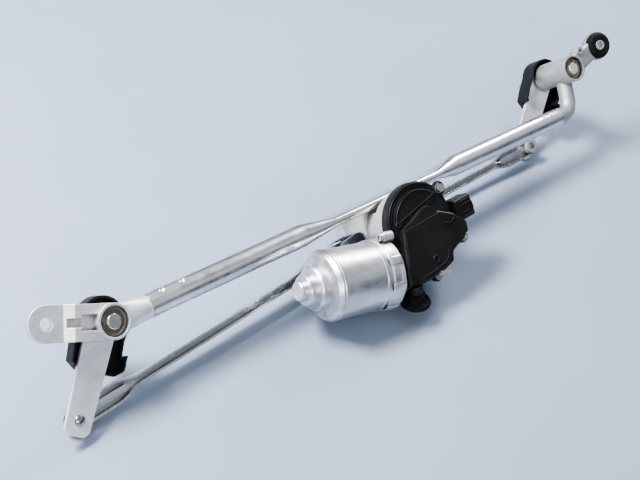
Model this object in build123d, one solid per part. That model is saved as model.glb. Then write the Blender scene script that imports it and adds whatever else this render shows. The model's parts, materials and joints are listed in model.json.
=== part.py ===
from build123d import *
import math
import os

# Windshield wiper assembly: tubular frame, two pivot housings, gear motor, crank,
# two drive rods and two spindle levers, parked.
#
# Everything is drawn in the linkage frame, in millimetres: the origin is the centre of
# the left housing's rim, +X runs along the frame tube to the right housing, and +Z
# runs along the pivots towards the side that the motor cover is on. place_on_table
# then turns the finished pieces into the part's own frame, with +Z up.

# ---- driving dimensions ----
CLEAR = 0.05                # radial clearance of a running fit
GAP = 0.4                   # axial gap between pieces of different bodies

LEFT_RIM = Vector(0, 0, 0)
RIGHT_RIM = Vector(578.2, 41.8, -12.7)
LEAN = Vector(0.128, -0.046, 0.99)          # near direction of the left pivot

BOSS_R = 14.0               # pivot housing
RECESS_R = 12.0
RECESS_DEPTH = 5.5
BUSH_R = 8.5
SPINDLE_R = 6.0
LEFT_BOSS = 17.5            # housing lengths
RIGHT_BOSS = 50.5
LEFT_LEVER_TOP = -18.5      # lever's near face, along the pivot
RIGHT_LEVER_TOP = -52.5
LEVER_T = 3.5
LEFT_LEVER = 75.5           # pivot to ball
RIGHT_LEVER = 84.0
LEFT_PARK = -127.0          # lever directions when parked, degrees
RIGHT_PARK = -132.0

BALL_R = 6.5
BALL_REACH = 8.0            # lever or crank face to ball centre
SOCKET_R = 7.5
ROD_TIP_R = 8.6
ROD_END_W = 18.5
ROD_W = 8.2
ROD_WALL = 1.8
ROD_H = 6.0
ROD_WIDE = 50.0             # ball to where the rod has narrowed

TUBE_R = 10.0
TUBE_WALL = 1.8
TUBE_START = Vector(34, -2, -13.5)
TUBE_END = Vector(547, -2, -28.5)
FLAT_W = 8.6                # the pressed stretch, thin in Y and deep in Z
FLAT_DEPTH = 26.6
FLAT_FROM = 156.0           # where pressing starts and ends, along the tube
FLAT_TO = 351.0
FLAT_RAMP = 32.0

PLATE_TOP = -15.0           # motor mounting plate
PLATE_T = 3.0
OUTPUT = Vector(288, -31, 0)                # output shaft axis
OUTPUT_R = 6.0
CRANK_R = 44.0
CRANK_PARK = 185.2
CRANK_TOP = -32.5
CRANK_T = 4.0
ROD_PITCH = 13.0            # between the two rods at the crank

WORM_DIR = Vector(0.977, -0.213, 0)         # armature axis, nose to worm end
WORM_Z = 3.0
CENTRE_DISTANCE = 37.3
YOKE_R = 30.8
YOKE_L = 60.0
YOKE_MOUTH = -41.0          # yoke mouth, along the armature from the output shaft
COVER_R = 37.0
COVER_SHIFT = (2.0, 1.5)    # centre of the round cover from the output shaft
CASE_R = 33.0               # the round gear case inside the cover
SKIRT_LOW = 10.0            # how far down the case the cover's skirt reaches
BODY_TOP = 14.0             # near face of the gear housing
DISC_TOP = 21.0             # near face of the round gear cover
BOX_TOP = 26.0              # near face of the electronics cover

PEG_FOOT = Vector(258.5, -96.0, 13.7)       # centre of the rubber foot's sole

TABLE_TURN = 47.96          # linkage frame to table frame: about X, then about Y
TABLE_TILT = -0.30
TABLE_SHIFT = (-289.658, -8.837, 72.801)     # centres the part over its lowest point


# ---- frames ----
def unit(v):
    return v * (1.0 / v.length)


def frame_at(origin, x_hint, z_dir):
    """Plane with its Z along z_dir and its X as near x_hint as it can be."""
    z = unit(z_dir)
    x = unit(x_hint - z * x_hint.dot(z))
    return Plane(origin=origin, x_dir=x, z_dir=z)


def mirrored_lean():
    return Vector(-LEAN.X, -LEAN.Y, LEAN.Z)


def on_plane(plane, x, y, z):
    return plane.from_local_coords(Vector(x, y, z))


LEFT = frame_at(LEFT_RIM, Vector(1, 0, 0), LEAN)
RIGHT = frame_at(RIGHT_RIM, Vector(1, 0, 0), mirrored_lean())


def turned(plane, degrees):
    """The same plane turned about its own Z."""
    a = math.radians(degrees)
    x = plane.x_dir * math.cos(a) + plane.y_dir * math.sin(a)
    return Plane(origin=plane.origin, x_dir=x, z_dir=plane.z_dir)


LEFT_ARM = turned(LEFT, LEFT_PARK)
RIGHT_ARM = turned(RIGHT, RIGHT_PARK)
LEFT_BALL = on_plane(LEFT_ARM, LEFT_LEVER, 0, LEFT_LEVER_TOP - LEVER_T - BALL_REACH)
RIGHT_BALL = on_plane(RIGHT_ARM, RIGHT_LEVER, 0, RIGHT_LEVER_TOP + BALL_REACH)

CRANK = turned(Plane(origin=OUTPUT, x_dir=(1, 0, 0), z_dir=(0, 0, 1)), CRANK_PARK)
NEAR_BALL_Z = CRANK_TOP - CRANK_T - BALL_REACH - GAP
CRANK_BALL_L = on_plane(CRANK, CRANK_R, 0, NEAR_BALL_Z)
CRANK_BALL_R = on_plane(CRANK, CRANK_R, 0, NEAR_BALL_Z - ROD_PITCH)

TUBE = frame_at(TUBE_START, Vector(0, 1, 0), TUBE_END - TUBE_START)
TUBE_LENGTH = (TUBE_END - TUBE_START).length

WORM_NORMAL = Vector(-WORM_DIR.Y, WORM_DIR.X, 0)
WORM_FOOT = OUTPUT - WORM_NORMAL * CENTRE_DISTANCE + Vector(0, 0, WORM_Z)
ARMATURE = frame_at(WORM_FOOT, Vector(0, 0, 1), WORM_DIR)


# ---- small shapes ----
def rod_between(radius, low, high):
    """Cylinder about Z from z = low to z = high."""
    return Pos(0, 0, low) * Cylinder(radius, high - low, align=(Align.CENTER, Align.CENTER, Align.MIN))


def ring_between(outer, inner, low, high):
    return rod_between(outer, low, high) - rod_between(inner, low - 1, high + 1)


def block(x0, x1, y0, y1, z0, z1):
    return Pos(x0, y0, z0) * Box(x1 - x0, y1 - y0, z1 - z0, align=(Align.MIN,) * 3)


def turned_profile(points):
    """Solid of revolution about Z from (radius, z) points."""
    outline = Polyline(*[(r, 0, z) for r, z in points], close=True)
    return revolve(make_face(outline), Axis.Z)


def flat_shape(points, z0, z1):
    """Straight-sided plate between two heights."""
    outline = Polyline(*[(x, y) for x, y in points], close=True)
    return Pos(0, 0, z0) * extrude(make_face(outline), z1 - z0)


def at(plane, shape):
    return plane.location * shape


# ---- frame tube ----
def oval(plane, width, depth):
    """Closed slot section, width along the plane's X and depth along its Y."""
    if depth - width < 0.1:
        return plane * Circle(width / 2)
    return plane * Rot(0, 0, 90) * SlotOverall(depth, width)


def tube_section(z, inset, pressed):
    plane = Plane(origin=on_plane(TUBE, 0, 0, z), x_dir=TUBE.x_dir, z_dir=TUBE.z_dir)
    if pressed:
        return oval(plane, FLAT_W - 2 * inset, FLAT_DEPTH - 2 * inset)
    return oval(plane, 2 * (TUBE_R - inset), 2 * (TUBE_R - inset) + 0.2)


def tube_solid(inset, overrun):
    stations = [
        (-overrun, FLAT_FROM, False, False),
        (FLAT_FROM, FLAT_FROM + FLAT_RAMP, False, True),
        (FLAT_FROM + FLAT_RAMP, FLAT_TO - FLAT_RAMP, True, True),
        (FLAT_TO - FLAT_RAMP, FLAT_TO, True, False),
        (FLAT_TO, TUBE_LENGTH + overrun, False, False),
    ]
    runs = [
        loft([tube_section(z0, inset, p0), tube_section(z1, inset, p1)])
        for z0, z1, p0, p1 in stations
    ]
    return runs[0] + runs[1:]


def crimps():
    """Round dents that lock the tube onto the two castings' spigots."""
    dents = []
    for z in (13.0, 32.0, TUBE_LENGTH - 26.0, TUBE_LENGTH - 15.0):
        for side in (55, 125, 235, 305):
            a = math.radians(side)
            centre = on_plane(TUBE, (TUBE_R + 2.0) * math.sin(a), (TUBE_R + 2.0) * math.cos(a), z)
            dents.append(Pos(*centre) * Sphere(3.4))
    return dents


def frame_tube():
    return tube_solid(0, 0) - tube_solid(TUBE_WALL, 1) - crimps()


# ---- left casting ----
EAR_ANGLE = 158.9
EAR_REACH = 51.6
EAR_R = 13.8
EAR_HOLE_R = 5.0
EAR_TOP = -8.0
EAR_T = 4.0
SPIGOT_R = TUBE_R - TUBE_WALL - 0.1


def left_ear():
    """Flat tab, sloping step and ribbed web, along the ear's own X."""
    tab = flat_shape([(34, -EAR_R), (EAR_REACH, -EAR_R), (EAR_REACH, EAR_R), (34, EAR_R)],
                     EAR_TOP - EAR_T, EAR_TOP)
    tab += Pos(EAR_REACH, 0, 0) * rod_between(EAR_R, EAR_TOP - EAR_T, EAR_TOP)
    step = Polyline((31, -3), (38, EAR_TOP), (44, EAR_TOP), (44, EAR_TOP - EAR_T),
                    (31, EAR_TOP - EAR_T), close=True)
    wedge = Pos(0, EAR_R, 0) * Rot(90, 0, 0) * extrude(make_face(step), 2 * EAR_R)
    web = block(0, 31.5, -EAR_R, EAR_R, -LEFT_BOSS, -3)
    pocket = block(8, 26, -6, 6, -9, 0)
    step_notch = block(26, 36, -3.4, 3.4, -8, 0)
    side_cuts = [block(16, 27, s * 12 - 2.8, s * 12 + 2.8, -LEFT_BOSS - 1, -10) for s in (-1, 1)]
    hole = Pos(EAR_REACH, 0, 0) * rod_between(EAR_HOLE_R, -20, 5)
    return tab + wedge + web - pocket - step_notch - side_cuts - hole


def bored(shape, length):
    """Cut a housing's circlip recess and its bush bore."""
    return shape - rod_between(RECESS_R, -RECESS_DEPTH, 5) - rod_between(BUSH_R, -length - 5, 0)


def left_spigot():
    root = Plane(origin=(6, 0, -7.6), x_dir=(0, 1, 0), z_dir=(1, 0, 0))
    mouth = Plane(origin=TUBE.origin - TUBE.z_dir * 3, x_dir=TUBE.x_dir, z_dir=TUBE.z_dir)
    neck = loft([root * RectangleRounded(23, 12.6, 3), mouth * Circle(TUBE_R - 0.4)])
    collar = at(TUBE, rod_between(TUBE_R - 0.4, -3, -0.2))
    spigot = at(TUBE, rod_between(SPIGOT_R - 1.6, -3, 46))
    return neck + collar + spigot


def left_bracket():
    boss = rod_between(BOSS_R, -LEFT_BOSS, 0)
    ear = Rot(0, 0, EAR_ANGLE) * left_ear()
    casting = at(LEFT, ear + boss) + left_spigot()
    tool = bored(rod_between(60, -80, 60), LEFT_BOSS)
    bores = rod_between(60, -80, 60) - tool
    shield_room = rod_between(20.6, -60, -LEFT_BOSS - 0.1)
    return casting - at(LEFT, bores) - at(LEFT, shield_room)


# ---- right casting ----
GROMMET = Vector(625.5, 54.6, -12.0)
GROMMET_LEAN = Vector(-0.30, 0.0, 0.954)
EYE_R = 15.0
EYE_T = 5.0
EYE_HOLE_R = 10.4
GROMMET_PLANE = frame_at(GROMMET, Vector(1, 0, 0), GROMMET_LEAN)


def right_neck():
    """Curved round arm from the housing's flank into the tube."""
    start = Vector(580, 33, -33)
    corner = Vector(571, -2, -30)
    end = TUBE.origin + TUBE.z_dir * (TUBE_LENGTH - 2)
    path = FilletPolyline(start, corner, end, radius=17)
    first = Plane(origin=start, z_dir=path % 0)
    arm = sweep(first * Circle(8.2), path=path)
    collar = at(TUBE, rod_between(TUBE_R - 0.4, TUBE_LENGTH + 0.2, TUBE_LENGTH + 6))
    spigot = at(TUBE, rod_between(SPIGOT_R - 1.6, TUBE_LENGTH - 36, TUBE_LENGTH + 4))
    return arm + collar + spigot


def right_arm():
    """Arm from the housing's rim to the eye that holds the grommet."""
    reach = GROMMET - RIGHT_RIM
    across = unit(Vector(-reach.Y, reach.X, 0))
    eye_back = GROMMET - GROMMET_PLANE.z_dir * (EYE_T + 1)
    root = Plane(origin=RIGHT_RIM + unit(reach) * 6 + Vector(0, 0, -9), x_dir=across, z_dir=reach)
    tip = Plane(origin=eye_back - unit(reach) * 9, x_dir=across, z_dir=reach)
    arm = loft([root * RectangleRounded(22, 14, 4), tip * RectangleRounded(19, 7, 3)])
    lug_centre = RIGHT_RIM + unit(reach) * 21 + across * 9.5 + Vector(0, 0, -1)
    lug = Pos(*lug_centre) * rod_between(4.5, -12, 0)
    lug_hole = Pos(*lug_centre) * rod_between(1.6, -8, 1)
    eye = at(GROMMET_PLANE, rod_between(EYE_R, -EYE_T - 4, -4))
    return arm + lug + eye - lug_hole


def right_bracket():
    boss = at(RIGHT, rod_between(BOSS_R, -RIGHT_BOSS, 0))
    casting = boss + right_neck() + right_arm()
    tool = bored(rod_between(60, -120, 60), RIGHT_BOSS)
    bores = rod_between(60, -120, 60) - tool
    grommet_room = at(GROMMET_PLANE, rod_between(14.4, -4, 8) + rod_between(14.4, -16, -EYE_T - 4))
    eye_hole = at(GROMMET_PLANE, rod_between(EYE_HOLE_R, -12, 0))
    return casting - at(RIGHT, bores) - eye_hole - grommet_room


def mount_grommet():
    top = [(5.2, 1.5), (11.0, 1.5), (13.6, -0.5), (13.6, -4.0), (EYE_HOLE_R, -4.0)]
    bottom = [(EYE_HOLE_R, -9.0), (13.6, -9.0), (13.6, -12.0), (11.5, -13.5), (5.2, -13.5)]
    return at(GROMMET_PLANE, turned_profile(top + bottom))


SLEEVE_BORE_R = 3.3


def grommet_sleeve():
    return at(GROMMET_PLANE, ring_between(5.2, SLEEVE_BORE_R, -14.0, 2.2))


# ---- pivots ----
def bush(low, high):
    return ring_between(BUSH_R, SPINDLE_R + CLEAR, low, high)


def left_bush():
    return at(LEFT, bush(-LEFT_BOSS, -RECESS_DEPTH))


def right_bushes():
    return [at(RIGHT, bush(-20, -RECESS_DEPTH)), at(RIGHT, bush(-RIGHT_BOSS, -34))]


def spindle(lever_top):
    """Shaft with a groove for the circlip, a splined taper and a threaded nose."""
    base = lever_top - LEVER_T
    shaft = rod_between(SPINDLE_R, base - 16, -0.8)
    shaft = chamfer(shaft.edges().group_by(Axis.Z)[-1], 0.6)
    groove = ring_between(8, 5.2, -2.9, -1.7)
    taper = Pos(0, 0, base - 20) * Cone(4.7, SPINDLE_R, 8)
    thread_rings = [ring_between(5, 3.55, base - 26 - 1.25 * i, base - 25.4 - 1.25 * i) for i in range(8)]
    nose = rod_between(4.0, base - 36, base - 24) - thread_rings
    nose = nose + taper
    splines = [
        Rot(0, 0, 20 * i) * Pos(6.1, 0, base - 20) * Rot(0, 9.2, 0) * Box(0.9, 0.7, 10)
        for i in range(18)
    ]
    return shaft - groove + (nose - splines)


def lever(length, top):
    """Tapered plate with a round hub and cropped far corners, along X."""
    hub_w, end_w, over, crop = 13.2, 10.4, 12.0, 4.2
    end = length + over
    outline = [(0, -hub_w), (end - crop, -end_w), (end, -end_w + crop),
               (end, end_w - crop), (end - crop, end_w), (0, hub_w)]
    plate = flat_shape(outline, top - LEVER_T, top) + rod_between(hub_w, top - LEVER_T, top)
    plate = plate - rod_between(SPINDLE_R + 0.01, top - LEVER_T - 1, top + 1)
    return plate - Pos(length, 0, 0) * rod_between(4.0, top - LEVER_T - 1, top + 1)


def ball_stud(shank):
    """Ball at the origin, stud rising along +Z through a plate, domed head on top."""
    ball = Sphere(BALL_R)
    neck = rod_between(3.9, 2, BALL_REACH)
    flange = rod_between(6.6, BALL_REACH - 1.6, BALL_REACH)
    stud = rod_between(3.99, BALL_REACH - 1, BALL_REACH + shank)
    dome = Pos(0, 0, BALL_REACH + shank) * scale(Sphere(4.6), (1, 1, 0.55))
    dome = dome & rod_between(6, BALL_REACH + shank, BALL_REACH + shank + 4)
    return ball + neck + flange + stud + dome


def left_stud():
    z = LEFT_LEVER_TOP - LEVER_T - BALL_REACH
    return at(LEFT_ARM, Pos(LEFT_LEVER, 0, z) * ball_stud(LEVER_T))


def right_stud():
    z = RIGHT_LEVER_TOP + BALL_REACH
    return at(RIGHT_ARM, Pos(RIGHT_LEVER, 0, z) * Rot(180, 0, 0) * ball_stud(LEVER_T))


def circlip():
    ring = ring_between(9.0, 5.2, -2.8, -1.8)
    gap = block(0, 12, -1.6, 1.6, -4, 0)
    lugs = [Pos(7.6, s * 3.0, 0) * rod_between(1.9, -2.8, -1.8) for s in (-1, 1)]
    holes = [Pos(7.9, s * 3.0, 0) * rod_between(0.8, -4, 0) for s in (-1, 1)]
    body = ring - gap + [lug - gap for lug in lugs]
    return body - holes


def washers():
    """Thrust washer on the bush and a thinner washer under the circlip."""
    thrust = ring_between(10.6, SPINDLE_R + 0.1, -RECESS_DEPTH + GAP, -3.9)
    thin = ring_between(9.8, SPINDLE_R + 0.1, -3.9, -2.8)
    return [thrust, thin]


def shield_outline(inset):
    """Round cup with two wings that flank the lever, in the lever's plane."""
    cup = Circle(19.8 - inset)
    narrow = [(0, -19.0), (22, -18.6), (34.5, -17.4), (39.5, -9.0), (39.5, 0), (0, 0)]
    wide = [(0, 0), (39.0, 0), (38.6, 20.0), (33.0, 27.4), (20.5, 28.6), (22.5, 23.6), (5.0, 23.0),
            (0, 19.0)]
    wings = [make_face(Polyline(*points, close=True)) for points in (narrow, wide)]
    if inset:
        wings = [offset(w, -inset, kind=Kind.INTERSECTION) for w in wings]
    return cup + wings


def shield(top, rim):
    """Splash cup behind the lever, open towards the housing and round the lever."""
    back = top - LEVER_T - 0.8
    floor = back - 2.0
    shell = Pos(0, 0, floor - 4) * extrude(shield_outline(0), rim - floor + 4)
    hollow = Pos(0, 0, floor) * extrude(shield_outline(2.0), 60)
    under = Pos(0, 0, floor - 6) * extrude(shield_outline(2.0), 4)
    lever_path = block(0, 60, -14.2, 14.2, back, rim + 30)
    wall_cut = block(-12, 60, -14.2, 14.2, back, rim + 30) & rod_between(17.8, back, rim + 30)
    collar = rod_between(9.5, floor - 4, back + 0.8)
    body = shell - hollow - under - lever_path - wall_cut + collar
    return body - rod_between(SPINDLE_R + 0.02, floor - 20, rim + 20)


def left_shield():
    """Shield trimmed where it would meet the tube at the far end of the sweep."""
    local = LEFT_ARM.location.inverse() * at(TUBE, rod_between(TUBE_R + 0.7, -14, 60))
    passes = [Rot(0, 0, -swept) * local for swept in (60, 63, 66, 69, 72.1)]
    return at(LEFT_ARM, shield(LEFT_LEVER_TOP, -LEFT_BOSS - 0.8) - passes)


# ---- rods ----
def rod_outline(length, inset):
    """Slender bar whose two ends widen into round eyes."""
    tip_r = ROD_TIP_R - inset
    end_r = ROD_END_W / 2 - inset
    half = ROD_W / 2 - inset
    left = 36.0
    right = length - left
    top = Spline((left, end_r), (ROD_WIDE, (end_r + half) / 2), (ROD_WIDE + 14, half),
                 tangents=[(1, 0), (1, 0)])
    edges = [
        Line((0, tip_r), (12, end_r)),
        Line((12, end_r), (left, end_r)),
        top,
        Line((ROD_WIDE + 14, half), (length - ROD_WIDE - 14, half)),
        mirror(top, Plane.YZ).moved(Location((length, 0, 0))),
        Line((right, end_r), (length - 12, end_r)),
        Line((length - 12, end_r), (length, tip_r)),
        RadiusArc((length, tip_r), (length, -tip_r), tip_r),
    ]
    lower = [mirror(edge, Plane.XZ) for edge in edges[:-1]]
    back = RadiusArc((0, -tip_r), (0, tip_r), tip_r)
    return make_face(edges + lower + [back])


def rod(length):
    """Pressed channel, open towards +Z, with a rib along each wide end."""
    low = -ROD_H / 2
    bar = Pos(0, 0, low) * extrude(rod_outline(length, 0), ROD_H)
    trough = Pos(0, 0, low + ROD_WALL) * extrude(rod_outline(length, ROD_WALL), ROD_H)
    body = bar - trough
    for x0, x1 in ((14, ROD_WIDE), (length - ROD_WIDE, length - 14)):
        rib = Pos(x0, 0, low + 0.5) * extrude(Pos((x1 - x0) / 2, 0) * SlotOverall(x1 - x0, 5.6), ROD_H - 0.8)
        body = body + rib
    for x in (0, length):
        body = body + Pos(x, 0, 0) * rod_between(ROD_TIP_R, low, low + ROD_WALL + 0.6)
        body = body - Pos(x, 0, 0) * rod_between(SOCKET_R, low - 2, ROD_H)
    return body


def socket(opening):
    """Plastic ball cup; opening is +1 or -1, the side that the stud comes in from."""
    flip = Rot(0, 0, 0) if opening > 0 else Rot(180, 0, 0)
    cup = rod_between(SOCKET_R - 0.02, -5.6, 4.4)
    cavity = Sphere(BALL_R + 0.02)
    mouth = Pos(0, 0, 5) * Cone(5.2, 7.2, 5)
    return flip * (cup - cavity - mouth)


def rod_plane(ball, far_ball):
    """Plane with its X exactly along the rod and its Z as near the pivots as it can be."""
    x = unit(far_ball - ball)
    near = Vector(0, 0, 1)
    return Plane(origin=ball, x_dir=x, z_dir=unit(near - x * near.dot(x)))


def rod_set(ball, crank_ball, lever_opening):
    plane = rod_plane(ball, crank_ball)
    length = (crank_ball - ball).length
    sockets = [at(plane, socket(lever_opening)), at(plane, Pos(length, 0, 0) * socket(1))]
    return at(plane, rod(length)), sockets


def crank_stud():
    """Stud of the near rod; its head lies in the crank's eye without touching it."""
    ball = Sphere(BALL_R)
    neck = rod_between(3.6, 2, BALL_REACH)
    flange = rod_between(5.2, BALL_REACH - 1.6, BALL_REACH)
    return Pos(*CRANK_BALL_L) * (ball + neck + flange)


def link_stud():
    """Stud of the far rod, under the near rod's cup."""
    ball = Sphere(BALL_R)
    neck = rod_between(3.6, 2, ROD_PITCH - BALL_R - 0.6)
    return Pos(*CRANK_BALL_R) * (ball + neck)


# ---- motor ----
def output_shaft():
    top = WORM_Z + 7
    shaft = rod_between(OUTPUT_R, CRANK_TOP + 2, top)
    square = Pos(0, 0, CRANK_TOP - CRANK_T) * extrude(RectangleRounded(8.0, 8.0, 1), CRANK_T + 4)
    return at(CRANK, shaft + square)


def gear_teeth(count, root, tip, low, high):
    points = []
    for i in range(count):
        for share, radius in ((0.0, root), (0.3, root), (0.42, tip), (0.78, tip), (0.9, root)):
            a = 2 * math.pi * (i + share) / count
            points.append((radius * math.cos(a), radius * math.sin(a)))
    return flat_shape(points, low, high)


def worm_wheel():
    wheel = gear_teeth(54, 28.0, 29.6, WORM_Z - 5, WORM_Z + 5)
    web = ring_between(25, 10, WORM_Z + 2, WORM_Z + 6) + ring_between(25, 10, WORM_Z - 6, WORM_Z - 2)
    bore = rod_between(OUTPUT_R + 0.01, WORM_Z - 8, WORM_Z + 8)
    return at(CRANK, wheel - web - bore)


def crank_arm():
    """Flat arm from the output shaft's square to the eye over the crank pin."""
    low = CRANK_TOP - CRANK_T
    arm = flat_shape([(0, -13), (CRANK_R, -9.5), (CRANK_R, 9.5), (0, 13)], low, CRANK_TOP)
    arm = arm + rod_between(13, low, CRANK_TOP) + Pos(CRANK_R, 0, 0) * rod_between(9.5, low, CRANK_TOP)
    square = Pos(0, 0, low - 1) * extrude(RectangleRounded(8.04, 8.04, 1), CRANK_T + 2)
    eye = Pos(CRANK_R, 0, 0) * rod_between(4.0, low - 1, CRANK_TOP + 1)
    return at(CRANK, arm - square - eye)


def crank_nut():
    low = CRANK_TOP - CRANK_T
    nut = Pos(0, 0, low - 3.6) * extrude(RegularPolygon(6.5, 6, major_radius=False), 3.6)
    return at(CRANK, nut)


YOKE_EARS = (295,)          # screw ear of the yoke, about the armature axis
EAR_RING = YOKE_R + 5.2
YOKE_FLANGE_R = YOKE_R + 1.4


def round_the_ears(shape):
    """One copy of the shape at each screw ear of the yoke."""
    return [at(ARMATURE, Rot(0, 0, a) * Pos(EAR_RING, 0, YOKE_MOUTH) * shape) for a in YOKE_EARS]


def motor_keepout(beyond=0.02):
    """Room of the yoke, its flange and its ears, to a little beyond its mouth."""
    yoke = at(ARMATURE, rod_between(YOKE_R + 1.6, YOKE_MOUTH - 50, YOKE_MOUTH + beyond))
    return yoke + round_the_ears(rod_between(4.9, -12, 0.02))


def cover_outline(grow):
    """Outline of the gear cover: a round gear case, a screw lug and an electronics box."""
    x, y = OUTPUT.X, OUTPUT.Y
    disc = Pos(x + COVER_SHIFT[0], y + COVER_SHIFT[1]) * Circle(COVER_R + grow)
    box_points = [(x - 37, y - 46.5), (x - 26, y - 48.5), (x - 6, y - 47.5), (x + 9, y - 45.5),
                  (x + 20, y - 42), (x + 23, y - 34), (x + 29, y - 31), (x + 40, y - 28), (x + 47, y - 23),
                  (x + 48, y - 14), (x + 36, y - 2), (x + 20, y + 6), (x - 25, y + 3), (x - 29, y - 11)]
    box = make_face(Polyline(*box_points, close=True))
    box = fillet(box.vertices(), 2.2)
    if grow:
        box = offset(box, grow)
    return disc, box


def screw_spots():
    """Where the cover's screws go: a lug on the round case and two on the box."""
    x, y = OUTPUT.X, OUTPUT.Y
    return [(x + 33.5, y + 23.0), (x + 44.5, y - 28.5), (x + 2, y - 49.8)]


def screw_post(spot, low):
    """Round post of a cover screw, joined to the gear case by a rib."""
    post = Pos(*spot, 0) * rod_between(4.6, low, BODY_TOP)
    out = Vector(spot[0] - OUTPUT.X, spot[1] - OUTPUT.Y, 0)
    turn = Pos(OUTPUT.X, OUTPUT.Y, 0) * Rot(0, 0, math.degrees(math.atan2(out.Y, out.X)))
    return post + turn * block(CASE_R - 2, out.length, -3.2, 3.2, low, BODY_TOP)


def housing_core():
    """Outer shape of the aluminium gear housing."""
    _, box = cover_outline(0)
    drum = Pos(OUTPUT.X, OUTPUT.Y, 0) * rod_between(CASE_R, -4.5, BODY_TOP)
    upper = drum + Pos(0, 0, -4.5) * extrude(box, BODY_TOP + 4.5) - motor_keepout()
    for spot in screw_spots():
        upper = upper + screw_post(spot, -4.5)
    lower_disc = Pos(OUTPUT.X, OUTPUT.Y, 0) * rod_between(CASE_R, PLATE_TOP, -4)
    lower_disc = lower_disc - block(200, 400, -9.0, 40, -40, -4.5)
    lower_disc = lower_disc - motor_keepout()
    worm_case = at(ARMATURE, rod_between(14.5, YOKE_MOUTH + 6, 34))
    throat = at(ARMATURE, rod_between(24.0, YOKE_MOUTH + 3.0, YOKE_MOUTH + 16))
    worm_case = (worm_case + throat) & block(200, 400, -120, 40, PLATE_TOP, BODY_TOP)
    flange = at(ARMATURE, rod_between(YOKE_FLANGE_R, YOKE_MOUTH, YOKE_MOUTH + 4.5))
    screw_ears = round_the_ears(rod_between(4.6, 0, 7.5))
    boss = Pos(OUTPUT.X, OUTPUT.Y, 0) * rod_between(11.0, CRANK_TOP + 5, PLATE_TOP + 1)
    case = upper + lower_disc + worm_case + flange + screw_ears + boss
    foot_room = at(peg_plane(), rod_between(15, -1, 14.5))
    return case - foot_room - at(CONNECTOR, block(-9.1, 9.1, -10.6, 10.6, -20, 30))


BOLT_ANGLES = (60, 180, 320)
BOLT_RING = 26.0


def bolt_spots():
    return [(OUTPUT.X + BOLT_RING * math.cos(math.radians(a)),
             OUTPUT.Y + BOLT_RING * math.sin(math.radians(a)) - 3) for a in BOLT_ANGLES]


def gear_housing():
    body = housing_core()
    wheel_room = Pos(OUTPUT.X, OUTPUT.Y, 0) * rod_between(30.6, WORM_Z - 8, BODY_TOP + 1)
    worm_room = at(ARMATURE, rod_between(8.5, YOKE_MOUTH - 1, 26))
    brush_room = at(ARMATURE, rod_between(22.0, YOKE_MOUTH - 1, YOKE_MOUTH + 8))
    bore = Pos(OUTPUT.X, OUTPUT.Y, 0) * rod_between(8.0, CRANK_TOP, 0)
    bolt_holes = [Pos(*spot, 0) * rod_between(3.05, PLATE_TOP - 1, PLATE_TOP + 8) for spot in bolt_spots()]
    screw_holes = [Pos(*spot, 0) * rod_between(1.9, BODY_TOP - 12, BODY_TOP + 1) for spot in screw_spots()]
    ear_holes = round_the_ears(rod_between(2.05, -1, 7))
    return body - wheel_room - worm_room - brush_room - bore - bolt_holes - screw_holes - ear_holes


def cover_skirt():
    """Wall round the gear case, left out at the box, the lug and the motor's throat."""
    disc, box = cover_outline(0)
    inner, _ = cover_outline(-1.4)
    ring = Pos(0, 0, SKIRT_LOW) * extrude(disc - inner, BODY_TOP - SKIRT_LOW)
    posts = [screw_post(spot, SKIRT_LOW - 1) for spot in screw_spots()]
    throat = at(ARMATURE, rod_between(24.05, YOKE_MOUTH, 0))
    return ring - Pos(0, 0, SKIRT_LOW - 1) * extrude(box, BODY_TOP - SKIRT_LOW + 1) - posts - throat


def gear_cover():
    """Black cover: raised round panel, screw lugs and the taller electronics box."""
    disc, box = cover_outline(0)
    raised, _ = cover_outline(-6.0)
    under, _ = cover_outline(-8.5)
    lid = Pos(0, 0, BODY_TOP) * extrude(disc + box, 4)
    panel = Pos(0, 0, BODY_TOP + 3) * extrude(raised, DISC_TOP - BODY_TOP - 3)
    tall = Pos(0, 0, BODY_TOP) * extrude(box, BOX_TOP - BODY_TOP)
    tall = chamfer(tall.edges().group_by(Axis.Z)[-1], 1.5)
    body = lid + panel + tall + cover_skirt()
    for spot in screw_spots():
        body = body - Pos(*spot, 0) * rod_between(5.2, BODY_TOP + 4, BOX_TOP + 1)
        body = body + Pos(*spot, 0) * rod_between(4.8, BODY_TOP, BODY_TOP + 4)
    _, inner_box = cover_outline(-3.0)
    hollow = Pos(0, 0, BODY_TOP - 1) * extrude(inner_box, BOX_TOP - BODY_TOP - 1.5)
    disc_hollow = Pos(0, 0, BODY_TOP - 1) * extrude(under, DISC_TOP - BODY_TOP - 1.5)
    for spot in screw_spots():
        hollow = hollow - Pos(*spot, 0) * rod_between(7.2, 0, 40)
    holes = [Pos(*spot, 0) * rod_between(2.3, BODY_TOP - 1, BODY_TOP + 6) for spot in screw_spots()]
    socket_room = at(CONNECTOR, block(-9.1, 9.1, -10.6, 10.6, -9.9, 30))
    ear_room = round_the_ears(rod_between(4.65, -1, 7.6))
    return body - hollow - disc_hollow - holes - socket_room - ear_room - motor_keepout(4.7)


CONNECTOR = Plane(origin=(OUTPUT.X + 53, OUTPUT.Y - 3, 13.5), x_dir=(0, 0, 1), z_dir=(0.99, 0.05, 0))


def motor_connector():
    """Plug-in socket beside the electronics box, open along its own Z."""
    shell = Pos(0, 0, -9.8) * extrude(RectangleRounded(18, 21, 3), 19.8)
    room = Pos(0, 0, -2) * extrude(RectangleRounded(13.6, 16.6, 1.5), 13)
    return at(CONNECTOR, shell - room)


def connector_pins():
    return [at(CONNECTOR, block(u - 0.4, u + 0.4, v - 0.8, v + 0.8, -2, 6.5))
            for u in (-3, 3) for v in (-6, -2, 2, 6)]


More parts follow.
